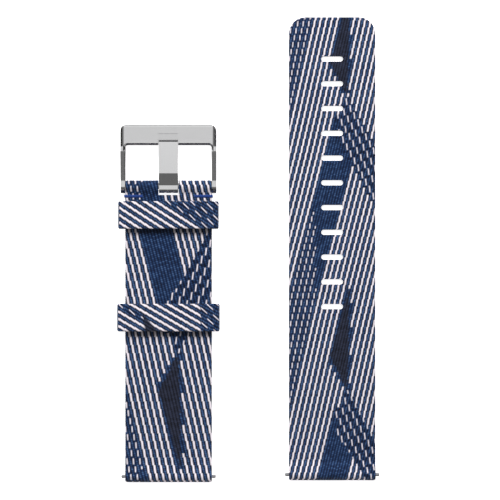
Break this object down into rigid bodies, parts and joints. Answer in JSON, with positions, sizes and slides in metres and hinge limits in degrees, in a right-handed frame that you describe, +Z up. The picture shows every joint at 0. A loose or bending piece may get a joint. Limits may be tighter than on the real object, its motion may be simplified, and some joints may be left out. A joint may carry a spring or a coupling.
{
  "type": "fitness tracker band",
  "caption": "Two-piece woven wrist band laid flat: one strap with a tang buckle and two keepers, one with a row of buckle slots, each with a quick-release spring bar.",
  "frame": {"origin": "middle of the band's footprint, on the surface that it lies on", "axes": "+X from the buckle strap to the hole strap, +Y from the lug ends to the buckle and the tip, +Z up, towards the face of the webbing"},
  "size_m": [0.0668, 0.1188, 0.0052],
  "materials": {
    "face_webbing": "jacquard woven navy webbing with narrow off-white stripes and black patches",
    "lining": "plain dark navy backing weave",
    "keeper_webbing": "the same striped navy webbing, cut across",
    "tack_thread": "dense blue satin bar-tack stitches",
    "buckle_steel": "fine satin stainless steel with polished edges",
    "bar_steel": "plain drawn stainless steel"
  },
  "bodies": {
    "buckle_strap": {"buckle_strap_face": "face_webbing", "buckle_strap_lining": "lining", "bar_tack_left": "tack_thread", "bar_tack_right": "tack_thread", "fixed_keeper": "keeper_webbing", "buckle_bar_tube": "bar_steel", "buckle_bar_tip_left": "bar_steel", "buckle_bar_tip_right": "bar_steel", "buckle_bar_coil": "bar_steel"},
    "buckle": {"buckle_frame": "buckle_steel"},
    "tongue": {"buckle_tongue": "buckle_steel"},
    "free_keeper": {"free_keeper": "keeper_webbing"},
    "buckle_strap_flex": {"buckle_strap_flex_face": "face_webbing", "buckle_strap_flex_lining": "lining"},
    "buckle_strap_lug_end": {"buckle_strap_lug_end": "face_webbing", "buckle_strap_bar_tube": "bar_steel", "buckle_strap_bar_fixed_tip": "bar_steel", "buckle_strap_bar_coil": "bar_steel"},
    "buckle_strap_release": {"buckle_strap_bar_sliding_tip": "bar_steel", "buckle_strap_bar_lever": "bar_steel"},
    "hole_strap_lug_end": {"hole_strap_lug_end": "face_webbing", "hole_strap_bar_tube": "bar_steel", "hole_strap_bar_fixed_tip": "bar_steel", "hole_strap_bar_coil": "bar_steel"},
    "hole_strap_release": {"hole_strap_bar_sliding_tip": "bar_steel", "hole_strap_bar_lever": "bar_steel"},
    "hole_strap_1": {"hole_strap_1_face": "face_webbing", "hole_strap_1_lining": "lining"},
    "hole_strap_2": {"hole_strap_2_face": "face_webbing", "hole_strap_2_lining": "lining"},
    "hole_strap_3": {"hole_strap_3_face": "face_webbing", "hole_strap_3_lining": "lining"},
    "hole_strap_4": {"hole_strap_4_face": "face_webbing", "hole_strap_4_lining": "lining"},
    "hole_strap_5": {"hole_strap_5_face": "face_webbing", "hole_strap_5_lining": "lining"},
    "hole_strap_6": {"hole_strap_6_face": "face_webbing", "hole_strap_6_lining": "lining"},
    "hole_strap_7": {"hole_strap_7_face": "face_webbing", "hole_strap_7_lining": "lining"},
    "hole_strap_8": {"hole_strap_8_face": "face_webbing", "hole_strap_8_lining": "lining"}
  },
  "joints": [
    {"name": "buckle", "type": "hinge", "parent": "buckle_strap", "child": "buckle", "pos_m": [-0.02034, 0.01622, 0.0018], "axis": [1, 0, 0], "range_deg": [-90, 25]},
    {"name": "tongue", "type": "hinge", "parent": "buckle", "child": "tongue", "pos_m": [-0.02034, 0.01622, 0.0018], "axis": [1, 0, 0], "range_deg": [0, 60]},
    {"name": "free_keeper", "type": "slide", "parent": "buckle_strap", "child": "free_keeper", "axis": [0, 1, 0], "range_m": [-0.019, 0.0185]},
    {"name": "buckle_strap_flex_1", "type": "hinge", "parent": "buckle_strap", "child": "buckle_strap_flex", "pos_m": [-0.02034, -0.04118, 0.0018], "axis": [1, 0, 0], "range_deg": [-25, 25]},
    {"name": "buckle_strap_flex_2", "type": "hinge", "parent": "buckle_strap_flex", "child": "buckle_strap_lug_end", "pos_m": [-0.02034, -0.05138, 0.0018], "axis": [1, 0, 0], "range_deg": [-25, 25]},
    {"name": "buckle_strap_release", "type": "slide", "parent": "buckle_strap_lug_end", "child": "buckle_strap_release", "axis": [-1, 0, 0], "range_m": [0, 0.0011], "stiffness_N_per_m": 400, "springref_m": -0.002, "deforming": ["buckle_strap_bar_coil"]},
    {"name": "hole_strap_lift", "type": "slide", "parent": "buckle_strap", "child": "hole_strap_lug_end", "axis": [0, 0, 1], "range_m": [0, 0.06]},
    {"name": "hole_strap_release", "type": "slide", "parent": "hole_strap_lug_end", "child": "hole_strap_release", "axis": [-1, 0, 0], "range_m": [0, 0.0011], "stiffness_N_per_m": 400, "springref_m": -0.002, "deforming": ["hole_strap_bar_coil"]},
    {"name": "hole_strap_flex_1", "type": "hinge", "parent": "hole_strap_lug_end", "child": "hole_strap_1", "pos_m": [0.02141, -0.04301, 0.00075], "axis": [-1, 0, 0], "range_deg": [-28, 28]},
    {"name": "hole_strap_flex_2", "type": "hinge", "parent": "hole_strap_1", "child": "hole_strap_2", "pos_m": [0.02141, -0.03036, 0.00075], "axis": [-1, 0, 0], "range_deg": [-28, 28]},
    {"name": "hole_strap_flex_3", "type": "hinge", "parent": "hole_strap_2", "child": "hole_strap_3", "pos_m": [0.02141, -0.0177, 0.00075], "axis": [-1, 0, 0], "range_deg": [-28, 28]},
    {"name": "hole_strap_flex_4", "type": "hinge", "parent": "hole_strap_3", "child": "hole_strap_4", "pos_m": [0.02141, -0.00505, 0.00075], "axis": [-1, 0, 0], "range_deg": [-28, 28]},
    {"name": "hole_strap_flex_5", "type": "hinge", "parent": "hole_strap_4", "child": "hole_strap_5", "pos_m": [0.02141, 0.0076, 0.00075], "axis": [-1, 0, 0], "range_deg": [-28, 28]},
    {"name": "hole_strap_flex_6", "type": "hinge", "parent": "hole_strap_5", "child": "hole_strap_6", "pos_m": [0.02141, 0.02025, 0.00075], "axis": [-1, 0, 0], "range_deg": [-28, 28]},
    {"name": "hole_strap_flex_7", "type": "hinge", "parent": "hole_strap_6", "child": "hole_strap_7", "pos_m": [0.02141, 0.0329, 0.00075], "axis": [-1, 0, 0], "range_deg": [-28, 28]},
    {"name": "hole_strap_flex_8", "type": "hinge", "parent": "hole_strap_7", "child": "hole_strap_8", "pos_m": [0.02141, 0.04556, 0.00075], "axis": [-1, 0, 0], "range_deg": [-28, 28]}
  ],
  "couplings": [
    {"joint": "hole_strap_flex_2", "follows": "hole_strap_flex_1", "ratio": 1},
    {"joint": "hole_strap_flex_3", "follows": "hole_strap_flex_1", "ratio": 1},
    {"joint": "hole_strap_flex_4", "follows": "hole_strap_flex_1", "ratio": 1},
    {"joint": "hole_strap_flex_5", "follows": "hole_strap_flex_1", "ratio": 1},
    {"joint": "hole_strap_flex_6", "follows": "hole_strap_flex_1", "ratio": 1},
    {"joint": "hole_strap_flex_7", "follows": "hole_strap_flex_1", "ratio": 1},
    {"joint": "hole_strap_flex_8", "follows": "hole_strap_flex_1", "ratio": 1}
  ]
}
